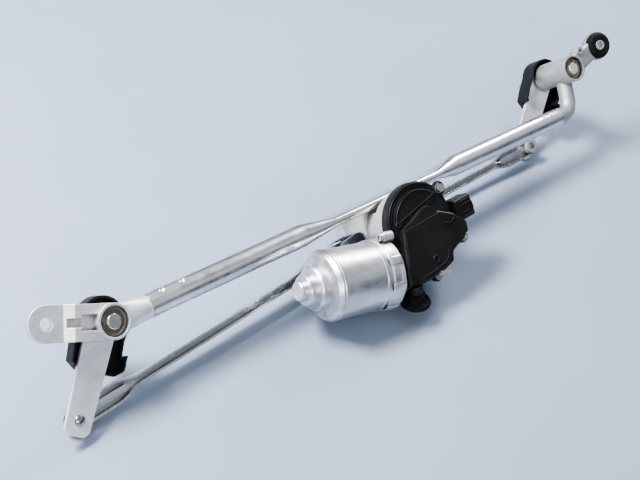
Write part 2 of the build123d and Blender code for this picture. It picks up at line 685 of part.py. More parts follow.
def circuit_board():
    _, box = cover_outline(-4.5)
    board = Pos(0, 0, 19.0) * extrude(box, 1.6)
    for spot in screw_spots():
        board = board - Pos(*spot, 0) * rod_between(8.0, 0, 40)
    board = board - Pos(OUTPUT.X, OUTPUT.Y, 0) * rod_between(34, 0, 40) - motor_keepout(8.0)
    return board - at(CONNECTOR, block(-9.5, 9.5, -11, 11, -10.5, 30))


def motor_yoke():
    """Deep-drawn steel can with a stepped nose, open at its mouth."""
    m = YOKE_MOUTH
    end = m - YOKE_L
    outer = [(0, end - 27), (7.6, end - 27), (8.6, end - 26), (8.6, end - 21), (12.8, end - 21),
             (13.4, end - 20), (13.4, end - 14), (18.0, end - 13.5), (19.2, end - 12), (19.2, end - 6),
             (27.5, end - 3.5), (YOKE_R - 0.8, end), (YOKE_R, end + 3), (YOKE_R, m - 8),
             (YOKE_FLANGE_R, m - 7), (YOKE_FLANGE_R, m)]
    inner = [(YOKE_R - 2, m), (YOKE_R - 2, end + 4), (17.2, end - 3.5), (17.2, end - 11),
             (7.0, end - 11.5), (7.0, end - 24.5), (0, end - 24.5)]
    can = turned_profile(outer + inner)
    ears = [Rot(0, 0, a) * (Pos(EAR_RING, 0, m - 3) * rod_between(4.6, 0, 3)) for a in YOKE_EARS]
    holes = [Rot(0, 0, a) * (Pos(EAR_RING, 0, m - 4) * rod_between(2.3, 0, 6)) for a in YOKE_EARS]
    clear = rod_between(YOKE_R - 2, end + 4, m + 1)
    return at(ARMATURE, can + [ear - clear for ear in ears] - holes)


def yoke_magnets():
    end = YOKE_MOUTH - YOKE_L
    ring = ring_between(YOKE_R - 2.02, 23.5, end + 12, YOKE_MOUTH - 20)
    slots = [Rot(0, 0, a) * block(-40, 40, -5, 5, end, YOKE_MOUTH) for a in (0, 90)]
    return at(ARMATURE, ring - slots)


def yoke_screw():
    screw = rod_between(2.0, -3, 6) + rod_between(3.6, -6.2, -3) - rod_between(1.6, -7, -4.4)
    return round_the_ears(screw)


def nose_bearing():
    end = YOKE_MOUTH - YOKE_L
    return at(ARMATURE, ring_between(6.98, 4.05, end - 22, end - 14))


def armature_shaft():
    """Shaft with the worm's ridges at its driving end."""
    end = YOKE_MOUTH - YOKE_L
    shaft = rod_between(4.0, end - 23.5, 24)
    core = rod_between(5.4, -17, 17)
    ridges = [ring_between(7, 4.3, -15.6 + 3.4 * i, -13.9 + 3.4 * i) for i in range(9)]
    return at(ARMATURE, shaft + (core - ridges))


def armature_core():
    end = YOKE_MOUTH - YOKE_L
    stack = ring_between(22.5, 4.01, end + 14, YOKE_MOUTH - 22)
    slots = [Rot(0, 0, 30 * i) * block(11, 30, -2.2, 2.2, end, YOKE_MOUTH) for i in range(12)]
    return at(ARMATURE, stack - slots)


def armature_windings():
    end = YOKE_MOUTH - YOKE_L
    bars = [Rot(0, 0, 30 * i) * block(12, 21, -1.8, 1.8, end + 10, YOKE_MOUTH - 18) for i in range(12)]
    heads = [ring_between(20, 6.5, end + 8, end + 13.9), ring_between(20, 6.5, YOKE_MOUTH - 21.9, YOKE_MOUTH - 16)]
    return at(ARMATURE, heads[0] + heads[1] + bars)


def commutator():
    m = YOKE_MOUTH
    drum = ring_between(9.5, 4.01, m - 15.5, m - 3)
    slits = [Rot(0, 0, 30 * i) * block(8.7, 12, -0.3, 0.3, m - 20, m) for i in range(12)]
    return at(ARMATURE, drum - slits)


def worm_bearing():
    return at(ARMATURE, ring_between(8.48, 4.05, YOKE_MOUTH + 8, YOKE_MOUTH + 14))


def thrust_plug():
    return at(ARMATURE, rod_between(8.0, 24.4, 25.9))


def brush_plate():
    m = YOKE_MOUTH
    plate = ring_between(YOKE_R - 2.1, 10.6, m - 14, m - 11.5)
    holders = []
    for a in (0, 90, 180, 270):
        box = block(11.2, 25, -4.6, 4.6, m - 11.5, m - 3.5) - block(9, 26, -3.02, 3.02, m - 10, m - 5)
        holders.append(Rot(0, 0, a + 45) * box)
    return at(ARMATURE, plate + holders)


def carbon_brushes():
    m = YOKE_MOUTH
    return [at(ARMATURE, Rot(0, 0, a + 45) * block(9.9, 18, -3, 3, m - 9.9, m - 5.1)) for a in (0, 90, 180, 270)]


def output_bush():
    return Pos(OUTPUT.X, OUTPUT.Y, 0) * ring_between(7.98, OUTPUT_R + CLEAR, CRANK_TOP + 5, WORM_Z - 8.5)


# ---- mounting plate and fasteners ----
def motor_plate():
    """Pressed plate under the tube's flat stretch, with a folded left edge and a slot."""
    top = PLATE_TOP
    left, right = 234.0, OUTPUT.X + 44
    edge = TUBE_START.Y - FLAT_W / 2
    outline = [(left, edge), (right - 6, edge), (right, -14), (right, -30), (OUTPUT.X + 30, -60),
               (OUTPUT.X - 6, -66), (OUTPUT.X - 32, -44), (252, -24), (248, -20.5), (left, -18.5)]
    sheet = flat_shape(outline, top - PLATE_T, top) - motor_keepout(6.0)
    sheet = sheet - round_the_ears(rod_between(5.4, -4, 8))
    fold = block(left - 2.6, left, -18.5, edge, top - 12, top)
    slot = Pos(left + 9.5, -8.4, 0) * Box(3.4, 8.5, 30)
    shaft_hole = Pos(OUTPUT.X, OUTPUT.Y, 0) * rod_between(11.6, -60, 0)
    holes = [Pos(*spot, 0) * rod_between(3.3, -60, 0) for spot in bolt_spots()]
    return sheet + fold - slot - shaft_hole - holes


def hex_bolt(radius, length, across, head):
    """Bolt along +Z with its head below z = 0."""
    shank = rod_between(radius, 0, length)
    hexagon = Pos(0, 0, -head) * extrude(RegularPolygon(across / 2, 6, major_radius=False), head)
    washer = rod_between(across * 0.62, -1.2, 0)
    return shank + hexagon + washer


def plate_bolts():
    return [Pos(*spot, PLATE_TOP - PLATE_T) * hex_bolt(3.0, 10, 8, 5) for spot in bolt_spots()]


def cover_screws():
    """Pan-head screws through the cover's lugs, the top right one with a hex head."""
    pan = rod_between(1.85, -14, 0) + rod_between(3.8, 0, 2.4) - block(-2.6, 2.6, -0.6, 0.6, 1.4, 3)
    hexed = rod_between(1.85, -14, 0) + rod_between(4.6, 0, 1.2)
    hexed = hexed + Pos(0, 0, 1.2) * extrude(RegularPolygon(3.6, 6, major_radius=False), 3.4)
    seats = [Pos(*spot, BODY_TOP + 4) for spot in screw_spots()]
    return [seats[0] * hexed] + [seat * pan for seat in seats[1:]]


# ---- locating peg ----
def peg_plane():
    up = Vector(-0.0230, 0.8483, 0.5287)
    return frame_at(PEG_FOOT, Vector(1, 0, 0), up)


PEG_PIN_R = 4.6


def locating_peg():
    """Bracket pin from the gear housing's corner down into the rubber foot."""
    plane = peg_plane()
    pin = at(plane, rod_between(PEG_PIN_R, 3, 20) + rod_between(6.2, 14, 20))
    root = plane.origin + plane.z_dir * 19
    lug = Vector(OUTPUT.X - 17, OUTPUT.Y - 43, BODY_TOP - 7)
    arm = sweep(Plane(origin=root, z_dir=lug - root) * Circle(5.6), path=Line(root, lug))
    knuckle = Pos(*root) * Sphere(6.2)
    _, box = cover_outline(0.05)
    cover_room = Pos(0, 0, BODY_TOP - 0.05) * extrude(box, 40)
    foot_room = at(plane, ring_between(12, PEG_PIN_R, -2, 13.9))
    return pin + knuckle + arm - housing_core() - cover_room - foot_room - motor_keepout()


def peg_foot():
    """Rubber foot: waisted sleeve with a wide bead near its sole."""
    points = [(0, 0), (9.0, 0), (13.2, 2.6), (14.0, 4.4), (13.0, 6.2), (8.4, 8.0), (7.4, 10.0), (8.2, 13.8),
              (PEG_PIN_R + 0.02, 13.8), (PEG_PIN_R + 0.02, 3.0), (0, 3.0)]
    return at(peg_plane(), turned_profile(points))


# ---- assembly ----
def moved_nodes():
    left_rod, left_sockets = rod_set(LEFT_BALL, CRANK_BALL_L, 1)
    right_rod, right_sockets = rod_set(RIGHT_BALL, CRANK_BALL_R, -1)
    return {
        "left_spindle": at(LEFT, spindle(LEFT_LEVER_TOP)),
        "left_lever": at(LEFT_ARM, lever(LEFT_LEVER, LEFT_LEVER_TOP)),
        "left_ball_stud": left_stud(),
        "left_circlip": at(turned(LEFT, 150), circlip()),
        "left_washers": [at(LEFT, w) for w in washers()],
        "left_shield": left_shield(),
        "right_spindle": at(RIGHT, spindle(RIGHT_LEVER_TOP)),
        "right_lever": at(RIGHT_ARM, lever(RIGHT_LEVER, RIGHT_LEVER_TOP)),
        "right_ball_stud": right_stud(),
        "right_circlip": at(turned(RIGHT, 60), circlip()),
        "right_washers": [at(RIGHT, w) for w in washers()],
        "right_shield": at(RIGHT_ARM, shield(RIGHT_LEVER_TOP, -45.5)),
        "left_rod": left_rod,
        "left_rod_sockets": left_sockets,
        "crank_stud": crank_stud(),
        "right_rod": right_rod,
        "right_rod_sockets": right_sockets,
        "link_stud": link_stud(),
        "output_shaft": output_shaft(),
        "worm_wheel": worm_wheel(),
        "crank_arm": crank_arm(),
        "crank_nut": crank_nut(),
        "armature_shaft": armature_shaft(),
        "armature_core": armature_core(),
        "armature_windings": armature_windings(),
        "commutator": commutator(),
    }


def frame_nodes():
    return {
        "frame_tube": frame_tube(),
        "left_bracket": left_bracket(),
        "right_bracket": right_bracket(),
        "mount_grommet": mount_grommet(),
        "grommet_sleeve": grommet_sleeve(),
        "left_bush": left_bush(),
        "right_bushes": right_bushes(),
        "motor_plate": motor_plate(),
        "plate_bolts": plate_bolts(),
        "gear_housing": gear_housing(),
        "gear_cover": gear_cover(),
        "cover_screws": cover_screws(),
        "motor_connector": motor_connector(),
        "connector_pins": connector_pins(),
        "circuit_board": circuit_board(),
        "motor_yoke": motor_yoke(),
        "yoke_magnets": yoke_magnets(),
        "yoke_screw": yoke_screw(),
        "nose_bearing": nose_bearing(),
        "worm_bearing": worm_bearing(),
        "thrust_plug": thrust_plug(),
        "brush_plate": brush_plate(),
        "carbon_brushes": carbon_brushes(),
        "output_bush": output_bush(),
        "locating_peg": locating_peg(),
        "peg_foot": peg_foot(),
    }


def solids_of(shape):
    pieces = shape if isinstance(shape, list) else [shape]
    return [solid for piece in pieces for solid in piece.solids()]


def place_on_table(solids):
    """Turn a node's solids from the linkage frame to the table frame."""
    turn = Pos(*TABLE_SHIFT) * Rot(0, TABLE_TILT, 0) * Rot(TABLE_TURN, 0, 0)
    placed = [turn * solid for solid in solids]
    return placed[0] if len(placed) == 1 else Compound(children=placed)


os.makedirs("parts", exist_ok=True)
for name, shape in {**frame_nodes(), **moved_nodes()}.items():
    export_step(place_on_table(solids_of(shape)), f"parts/{name}.step")
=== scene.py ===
import bpy
import bmesh
import json
import math
from mathutils import Matrix, Vector


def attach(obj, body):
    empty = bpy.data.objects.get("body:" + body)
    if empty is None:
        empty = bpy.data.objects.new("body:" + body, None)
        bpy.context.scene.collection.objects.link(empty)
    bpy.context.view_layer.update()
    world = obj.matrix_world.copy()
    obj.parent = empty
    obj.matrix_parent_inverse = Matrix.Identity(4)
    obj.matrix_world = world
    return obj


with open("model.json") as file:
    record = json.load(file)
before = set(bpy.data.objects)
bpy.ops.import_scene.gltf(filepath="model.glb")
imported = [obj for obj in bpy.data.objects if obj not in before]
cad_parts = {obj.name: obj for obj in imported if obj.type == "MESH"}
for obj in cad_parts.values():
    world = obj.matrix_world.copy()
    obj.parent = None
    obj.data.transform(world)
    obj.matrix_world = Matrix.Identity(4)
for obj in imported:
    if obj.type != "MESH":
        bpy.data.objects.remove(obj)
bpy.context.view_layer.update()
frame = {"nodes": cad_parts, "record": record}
nodes = frame["nodes"]

# The linkage frame: origin at the left pivot's rim, X along the tube, Z along the pivots.
TURN, TILT = math.radians(47.96), math.radians(-0.30)
SHIFT = Vector((-0.289658, -0.008837, 0.072801))
LINKAGE = Matrix.Translation(SHIFT) @ Matrix.Rotation(TILT, 4, "Y") @ Matrix.Rotation(TURN, 4, "X")


def unit(v):
    return Vector(v).normalized()


def frame_at(origin, x_hint, z_dir):
    """Matrix with its Z along z_dir and X near x_hint; inputs in linkage millimetres."""
    z = unit(z_dir)
    x = Vector(x_hint)
    x = (x - z * x.dot(z)).normalized()
    y = z.cross(x)
    turn = Matrix((x, y, z)).transposed().to_4x4()
    return LINKAGE @ Matrix.Translation(Vector(origin) / 1000) @ turn


# ---- node materials ----
class Nodes:
    """Short calls for building one material's node tree."""

    def __init__(self, name):
        self.material = bpy.data.materials.new(name)
        self.material.use_nodes = True
        self.tree = self.material.node_tree
        self.shader = self.tree.nodes["Principled BSDF"]
        coord = self.tree.nodes.new("ShaderNodeTexCoord")
        self.place = coord.outputs["Object"]

    def link(self, out, into):
        self.tree.links.new(out, into)

    def mapped(self, scale):
        node = self.tree.nodes.new("ShaderNodeMapping")
        node.inputs["Scale"].default_value = scale
        self.link(self.place, node.inputs["Vector"])
        return node.outputs["Vector"]

    def noise(self, scale, detail=4.0, roughness=0.55, vector=None):
        node = self.tree.nodes.new("ShaderNodeTexNoise")
        node.inputs["Scale"].default_value = scale
        node.inputs["Detail"].default_value = detail
        node.inputs["Roughness"].default_value = roughness
        self.link(vector or self.place, node.inputs["Vector"])
        return node.outputs["Fac"]

    def cells(self, scale):
        node = self.tree.nodes.new("ShaderNodeTexVoronoi")
        node.inputs["Scale"].default_value = scale
        self.link(self.place, node.inputs["Vector"])
        return node.outputs["Distance"]

    def ramp(self, value, stops):
        node = self.tree.nodes.new("ShaderNodeValToRGB")
        ramp = node.color_ramp
        while len(ramp.elements) < len(stops):
            ramp.elements.new(0.5)
        for element, (at, colour) in zip(ramp.elements, stops):
            element.position = at
            element.color = (*colour, 1)
        self.link(value, node.inputs["Fac"])
        return node.outputs["Color"]

    def grey(self, value, stops):
        return self.tinted(value, stops, (1, 1, 1))

    def tinted(self, value, stops, tint):
        """Ramp whose stops are grey levels, each coloured by the tint."""
        return self.ramp(value, [(at, tuple(level * t for t in tint)) for at, level in stops])

    def corners(self, reach, dark):
        """Painted shade: grey that falls to dark where the surface is shut in, as in a groove, for
        multiplying into the base colour.
        """
        node = self.tree.nodes.new("ShaderNodeAmbientOcclusion")
        node.samples = 8
        node.inputs["Distance"].default_value = reach
        return self.grey(node.outputs["AO"], [(0.25, dark), (0.85, 1.0)])

    def multiply(self, a, b):
        node = self.tree.nodes.new("ShaderNodeMix")
        node.data_type = "RGBA"
        node.blend_type = "MULTIPLY"
        node.inputs[0].default_value = 1.0
        self.link(a, node.inputs[6])
        self.link(b, node.inputs[7])
        return node.outputs[2]

    def relief(self, heights, round_edges=0.0):
        """Bump from (height, distance in metres) pairs over softened edges."""
        normal = None
        if round_edges:
            bevel = self.tree.nodes.new("ShaderNodeBevel")
            bevel.samples = 8
            bevel.inputs["Radius"].default_value = round_edges
            normal = bevel.outputs["Normal"]
        for height, distance in heights:
            bump = self.tree.nodes.new("ShaderNodeBump")
            bump.inputs["Distance"].default_value = distance
            bump.inputs["Strength"].default_value = 1.0
            self.link(height, bump.inputs["Height"])
            if normal:
                self.link(normal, bump.inputs["Normal"])
            normal = bump.outputs["Normal"]
        self.link(normal, self.shader.inputs["Normal"])


def zinc(name, low, high, rough=(0.30, 0.52), tint=(1, 1, 1.02), grain=0.00002, metal=1.0, groove_shade=0.7):
    """Zinc plating: streaks along the metal, cloudy patches, tiny pits, and painted shade darkening the
    grooves.
    """
    n = Nodes(name)
    streaks = n.noise(60, 3, 0.5, n.mapped((0.12, 2.2, 2.2)))
    clouds = n.noise(38, 5, 0.6)
    spots = n.cells(420)
    base = n.tinted(streaks, [(0.30, low), (0.5, (low + high) / 2), (0.72, high)], tint)
    shade = n.grey(clouds, [(0.30, 0.88), (0.62, 1.0)])
    pits = n.grey(spots, [(0.02, 0.86), (0.06, 1.0)])
    worn = n.multiply(n.multiply(base, shade), pits)
    # The plating colour is multiplied by painted shade that darkens grooves and corners.
    n.link(n.multiply(worn, n.corners(0.006, groove_shade)), n.shader.inputs["Base Color"])
    n.link(n.grey(n.noise(90, 5, 0.6), [(0.3, rough[0]), (0.7, rough[1])]), n.shader.inputs["Roughness"])
    n.shader.inputs["Metallic"].default_value = metal
    n.relief([(streaks, grain * 2.0), (n.noise(420, 3), grain)], 0.0003)
    return n.material


def cast(name, low, high, rough=(0.48, 0.66), grain=0.00016, tint=(1, 1, 1)):
    """Sand or die casting: even grain, faint flow marks, darker in patches, with painted shade in the
    corners.
    """
    n = Nodes(name)
    clouds = n.noise(45, 6, 0.62)
    grit = n.noise(1700, 4, 0.7)
    base = n.tinted(clouds, [(0.28, low), (0.66, high)], tint)
    speck = n.grey(grit, [(0.34, 0.84), (0.56, 1.0)])
    # The casting colour is multiplied by painted shade that darkens corners and recesses.
    n.link(n.multiply(n.multiply(base, speck), n.corners(0.009, 0.5)), n.shader.inputs["Base Color"])
    n.link(n.grey(n.noise(120, 4), [(0.3, rough[0]), (0.7, rough[1])]), n.shader.inputs["Roughness"])
    n.shader.inputs["Metallic"].default_value = 0.85
    n.relief([(n.noise(260, 4, 0.6), grain * 1.4), (grit, grain)], 0.0009)
    return n.material


def plastic(name, low, high, rough=(0.42, 0.56)):
    """Moulded plastic: fine spark-eroded grain, faint flow clouds, polished and dusty patches."""
    n = Nodes(name)
    clouds = n.noise(30, 5, 0.6)
    base = n.ramp(clouds, [(0.30, low), (0.68, high)])
    dust = n.grey(n.noise(700, 3, 0.8), [(0.60, 1.0), (0.78, 1.6)])
    n.link(n.multiply(base, dust), n.shader.inputs["Base Color"])
    n.link(n.grey(n.noise(160, 5), [(0.3, rough[0]), (0.7, rough[1])]), n.shader.inputs["Roughness"])
    n.shader.inputs["Specular IOR Level"].default_value = 0.42
    n.relief([(n.noise(2600, 3, 0.6), 0.00005)], 0.0006)
    return n.material


def rubber(name, low, high):
    """Matt moulded rubber with a coarse skin."""
    n = Nodes(name)
    n.link(n.ramp(n.noise(55, 5), [(0.3, low), (0.7, high)]), n.shader.inputs["Base Color"])
    n.link(n.grey(n.noise(240, 4), [(0.3, 0.68), (0.7, 0.86)]), n.shader.inputs["Roughness"])
    n.shader.inputs["Specular IOR Level"].default_value = 0.3
    n.relief([(n.noise(900, 4, 0.7), 0.00012)], 0.0008)
    return n.material


def turned_steel(name, low, high, rough=(0.18, 0.34), tint=(1, 1, 1)):
    """Machined steel: fine tool marks and a few dull smears."""
    n = Nodes(name)
    marks = n.noise(1400, 2, 0.5, n.mapped((0.25, 1.0, 1.0)))
    base = n.tinted(n.noise(70, 4), [(0.3, low), (0.7, high)], tint)
    n.link(base, n.shader.inputs["Base Color"])
    n.link(n.grey(n.noise(130, 4), [(0.3, rough[0]), (0.7, rough[1])]), n.shader.inputs["Roughness"])
    n.shader.inputs["Metallic"].default_value = 1.0
    n.relief([(marks, 0.00003)], 0.0003)
    return n.material


MATERIALS = {
    "zinc_tube": zinc("tube_zinc", 0.68, 0.96, (0.24, 0.38), grain=0.000007),
    "cast_light": cast("cast_pale", 0.82, 0.97, (0.40, 0.56)),
    "cast_grey": cast("cast_grey", 0.50, 0.68),
    "grommet_rubber": rubber("grommet_rubber", (0.012, 0.012, 0.013), (0.028, 0.028, 0.029)),
    "sleeve_steel": turned_steel("sleeve_steel", 0.55, 0.75),
    "bush_bronze": cast("bush_bronze", 0.42, 0.58, (0.36, 0.48), tint=(1.0, 0.74, 0.42)),
    "spindle_steel": turned_steel("spindle_steel", 0.78, 0.95),
    "ring_steel": turned_steel("ring_steel", 0.26, 0.44, rough=(0.30, 0.45), tint=(1.0, 0.84, 0.66)),
    "washer_steel": zinc("washer_zinc", 0.42, 0.66, tint=(1.0, 0.90, 0.74)),
    "shield_plastic": plastic("shield_black", (0.010, 0.010, 0.011), (0.020, 0.020, 0.021), (0.34, 0.50)),
    "lever_steel": zinc("lever_zinc", 0.84, 0.98, (0.36, 0.50), metal=0.55),
    "stud_steel": turned_steel("stud_steel", 0.34, 0.52),
    # Rods: strong painted shade darkens the channel between the two rims.
    "rod_steel": zinc("rod_zinc", 0.74, 0.98, (0.20, 0.34), grain=0.00001, groove_shade=0.32),
    "socket_plastic": plastic("socket_black", (0.015, 0.015, 0.016), (0.03, 0.03, 0.03)),
    "socket_light": plastic("socket_grey", (0.34, 0.34, 0.33), (0.46, 0.46, 0.45), (0.4, 0.55)),
    "crank_steel": zinc("crank_zinc", 0.40, 0.62),
    "wheel_plastic": plastic("wheel_natural", (0.70, 0.67, 0.56), (0.80, 0.78, 0.68)),
    "plate_steel": zinc("plate_zinc", 0.74, 0.94, (0.30, 0.46), metal=0.7),
    "bolt_steel": zinc("bolt_zinc", 0.60, 0.86, (0.20, 0.38)),
    "housing_alu": cast("housing_die_cast", 0.62, 0.82, (0.40, 0.56)),
    "cover_plastic": plastic("cover_black", (0.012, 0.012, 0.013), (0.024, 0.024, 0.025), (0.40, 0.54)),
    "connector_plastic": plastic("connector_black", (0.010, 0.010, 0.010), (0.020, 0.020, 0.021),
                                 (0.36, 0.5)),
    "pin_brass": turned_steel("pin_plated", 0.5, 0.7, tint=(1.0, 0.82, 0.45)),
    "board": plastic("board_green", (0.02, 0.12, 0.05), (0.03, 0.18, 0.08)),
    "yoke_steel": zinc("yoke_zinc", 0.62, 0.88, (0.32, 0.48)),
    "ferrite": cast("ferrite", 0.05, 0.09),
    "core_steel": cast("core_laminated", 0.25, 0.36),
    "copper": turned_steel("winding_copper", 0.6, 0.8, tint=(1.0, 0.52, 0.30)),
    "brush_plastic": plastic("brush_brown", (0.10, 0.08, 0.06), (0.15, 0.12, 0.09)),
    "carbon": plastic("carbon", (0.03, 0.03, 0.03), (0.05, 0.05, 0.05)),
    "peg_steel": plastic("peg_coated", (0.012, 0.012, 0.012), (0.025, 0.025, 0.025)),
    "foot_rubber": rubber("foot_rubber", (0.010, 0.010, 0.010), (0.022, 0.022, 0.022)),
}

slot_of = {entry["node"]: entry["material_slot"] for entry in frame["record"]["subparts"]}
for name, obj in nodes.items():
    material = MATERIALS[slot_of[name]]
    if not obj.material_slots:
        obj.data.materials.append(material)
    for slot in obj.material_slots:
        slot.material = material


# ---- moulded and stamped detail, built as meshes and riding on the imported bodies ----
OUTPUT = Vector((288.0, -31.0, 0.0))
WORM = Vector((0.977, -0.213, 0.0))
WORM_FOOT = OUTPUT - Vector((0.213, 0.977, 0.0)) * 37.3 + Vector((0, 0, 3.0))
ARMATURE = frame_at(WORM_FOOT, (0, 0, 1), WORM)
COVER = LINKAGE @ Matrix.Translation(OUTPUT / 1000)
MOUTH = -41.0               # yoke mouth along the armature, mm
YOKE_R = 30.8
DISC_FACE = 21.0            # near faces of the round cover and of the box on it, mm
BOX_FACE = 26.0


def piece(name, bm, place, slot):
    """Turn a millimetre bmesh into a piece of the frame body with that slot's material."""
    bmesh.ops.recalc_face_normals(bm, faces=bm.faces)
    mesh = bpy.data.meshes.new(name)
    bm.to_mesh(mesh)
    bm.free()
    mesh.transform(place @ Matrix.Scale(0.001, 4))
    obj = bpy.data.objects.new(name, mesh)
    bpy.context.scene.collection.objects.link(obj)
    mesh.materials.append(MATERIALS[slot])
    mesh.shade_smooth()
    mesh.set_sharp_from_angle(angle=math.radians(35))
    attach(obj, "frame")


def skin(bm, rings, caps=True):
    """Faces between successive closed rings of points."""
    rows = [[bm.verts.new(p) for p in ring] for ring in rings]
    count = len(rows[0])
    for a, b in zip(rows, rows[1:]):
        for i in range(count):
            j = (i + 1) % count
            bm.faces.new((a[i], a[j], b[j], b[i]))
    if caps:
        bm.faces.new(rows[0][::-1])
        bm.faces.new(rows[-1])


def rounded_bar(bm, path, width, height, z):
    """Low ridge with a rounded top and tapered ends, along an (x, y) path."""
    points = [Vector((x, y, z)) for x, y in path]
    rings = []
    for i, p in enumerate(points):
        before, after = points[max(i - 1, 0)], points[min(i + 1, len(points) - 1)]
        along = (after - before).normalized()
        side = Vector((-along.y, along.x, 0))
        h = height * (0.25 if i in (0, len(points) - 1) else 1.0)
        section = [(-0.5, -0.4), (-0.5, 0.35 * h), (-0.36, 0.8 * h), (-0.14, h), (0.14, h), (0.36, 0.8 * h),
                   (0.5, 0.35 * h), (0.5, -0.4)]
        rings.append([p + side * (s * width) + Vector((0, 0, t)) for s, t in section])
    skin(bm, rings)


def arc(cx, cy, r, first, last):
    """Points along an arc, angles in degrees."""
    steps = 28
    angles = [math.radians(first + (last - first) * i / steps) for i in range(steps + 1)]
    return [(cx + r * math.cos(a), cy + r * math.sin(a)) for a in angles]


def between(points, steps):
    """The path with more points along each straight run."""
    out = []
    for (x0, y0), (x1, y1) in zip(points, points[1:]):
        out += [(x0 + (x1 - x0) * i / steps, y0 + (y1 - y0) * i / steps) for i in range(steps)]
    return out + [points[-1]]


def turned(bm, profile, cx=0.0, cy=0.0, steps=40):
    """Closed ring or boss of revolution about Z from (radius, z) points."""
    rings = []
    for i in range(steps + 1):
        a = 2 * math.pi * i / steps
        rings.append([Vector((cx + r * math.cos(a), cy + r * math.sin(a), z)) for r, z in profile])
    skin(bm, rings, caps=False)
    bmesh.ops.remove_doubles(bm, verts=bm.verts, dist=0.0005)


def plateau(bm, outline, low, high, edge):
    """Raised flat area with a rolled edge; outline is anticlockwise (x, y) points."""
    count = len(outline)
    middle = Vector((sum(x for x, _ in outline) / count, sum(y for _, y in outline) / count, 0))
    rings = []
    profile = [(0, low), (0, high - edge), (0.3 * edge, high - 0.3 * edge), (edge, high), (2.2 * edge, high)]
    for inset, z in profile:
        ring = []
        for x, y in outline:
            p = Vector((x, y, 0))
            ring.append(p + (middle - p).normalized() * inset + Vector((0, 0, z)))
        rings.append(ring)
    skin(bm, rings)


def cover_details():
    """The mouldings on the black cover's face."""
    bm = bmesh.new()
    hump = between([(-25.5, 1.0), (-24.6, 3.6), (-15.0, 6.6), (-6.0, 10.4), (1.0, 13.6), (6.5, 15.0),
                    (11.5, 13.6),
                    (15.5, 10.0), (19.0, 4.0), (8.0, 0.5), (-10.0, 0.0)], 3)
    plateau(bm, hump[::-1], 20.6, 25.7, 1.0)
    piece("cover_hump", bm, COVER, "cover_plastic")
    bm = bmesh.new()
    rounded_bar(bm, arc(2.0, 1.5, 35.3, 52, 196), 1.6, 1.1, 18.0)
    rounded_bar(bm, arc(2.0, 1.5, 32.6, 52, 190), 1.0, 0.8, 18.0)
    rounded_bar(bm, arc(2.0, 1.5, 29.0, 26, 164), 1.3, 0.9, DISC_FACE)
    rounded_bar(bm, between([(26.0, 21.4), (-24.5, 9.2)], 14), 1.5, 1.0, DISC_FACE)
    rounded_bar(bm, between([(24.5, 17.8), (7.0, 13.6)], 8), 1.1, 0.7, DISC_FACE)
    rounded_bar(bm, between([(7.5, 17.0), (4.0, 29.0)], 6), 0.9, 0.5, DISC_FACE)
    rounded_bar(bm, between([(22.0, -6.0), (27.5, -9.0), (31.0, -8.0), (35.0, -5.4)], 5), 1.3, 0.8, BOX_FACE)
    rounded_bar(bm, between([(-20.0, -43.0), (-4.0, -41.6), (8.0, -39.5), (15.0, -36.0), (17.0, -30.0)], 5),
                1.2, 0.7, BOX_FACE)
    rounded_bar(bm, between([(-23.5, 0.0), (-26.0, -10.5), (-33.0, -42.0)], 6), 1.4, 0.7, BOX_FACE)
    piece("cover_ribs", bm, COVER, "cover_plastic")
    bm = bmesh.new()
    turned(bm, [(1.3, 20.6), (1.3, 22.1), (1.6, 22.5), (2.5, 22.5), (2.9, 22.1), (3.1, 20.6)], -25.0, 8.4)
    turned(bm, [(2.4, 25.7), (2.4, 26.5), (2.7, 26.8), (3.7, 26.8), (4.1, 26.4), (4.1, 25.7)], 0.5, -33.0)
    turned(bm, [(0.6, 25.7), (0.6, 26.3), (1.5, 26.5), (1.7, 26.2), (1.7, 25.7)], 0.5, -33.0)
    turned(bm, [(5.3, 17.6), (5.3, 19.2), (5.8, 19.8), (6.6, 19.6), (6.9, 17.6)], 33.5, 23.0)
    piece("cover_bosses", bm, COVER, "cover_plastic")


def yoke_crimps():
    """Tabs rolled over the yoke's rim, and the drawn bead behind it."""
    bm = bmesh.new()
    for middle in (20, 65, 110, 155, 200, 245, 338):
        rings = []
        for i in range(9):
            a = math.radians(middle - 7 + 14 * i / 8)
            fade = 0.55 if i in (0, 8) else 1.0
            section = [(YOKE_R + 1.2, MOUTH - 9.0), (YOKE_R + 1.2 + 0.9 * fade, MOUTH - 7.6),
                       (YOKE_R + 1.3 + 1.3 * fade, MOUTH - 4.0), (YOKE_R + 1.3 + 1.4 * fade, MOUTH + 3.0),
                       (YOKE_R + 1.2 + 1.0 * fade, MOUTH + 4.4), (YOKE_R + 0.9, MOUTH + 4.2),
                       (YOKE_R + 0.9, MOUTH - 8.4)]
            rings.append([Vector((r * math.cos(a), r * math.sin(a), z)) for r, z in section])
        skin(bm, rings)
    piece("yoke_tabs", bm, ARMATURE, "yoke_steel")
    bm = bmesh.new()
    for z in (MOUTH - 13.0, MOUTH - 57.5):
        bead = [(YOKE_R - 0.2, z - 1.3), (YOKE_R + 0.35, z - 0.7), (YOKE_R + 0.5, z),
                (YOKE_R + 0.35, z + 0.7), (YOKE_R - 0.2, z + 1.3)]
        turned(bm, bead, steps=96)
    piece("yoke_beads", bm, ARMATURE, "yoke_steel")


def grommet_lip():
    """Moulded rings on the grommet's near face."""
    place = frame_at((625.5, 54.6, -12.0), (1, 0, 0), (-0.30, 0, 0.954))
    bm = bmesh.new()
    for r in (7.2, 9.6):
        turned(bm, [(r - 0.6, 1.3), (r - 0.4, 1.9), (r, 2.1), (r + 0.4, 1.9), (r + 0.6, 1.3)], steps=48)
    for i in range(12):
        a = 2 * math.pi * i / 12
        path = [(r * math.cos(a), r * math.sin(a)) for r in (10.4, 10.9, 11.3)]
        rounded_bar(bm, path, 1.2, 0.5, 1.4)
    piece("grommet_lip", bm, place, "grommet_rubber")


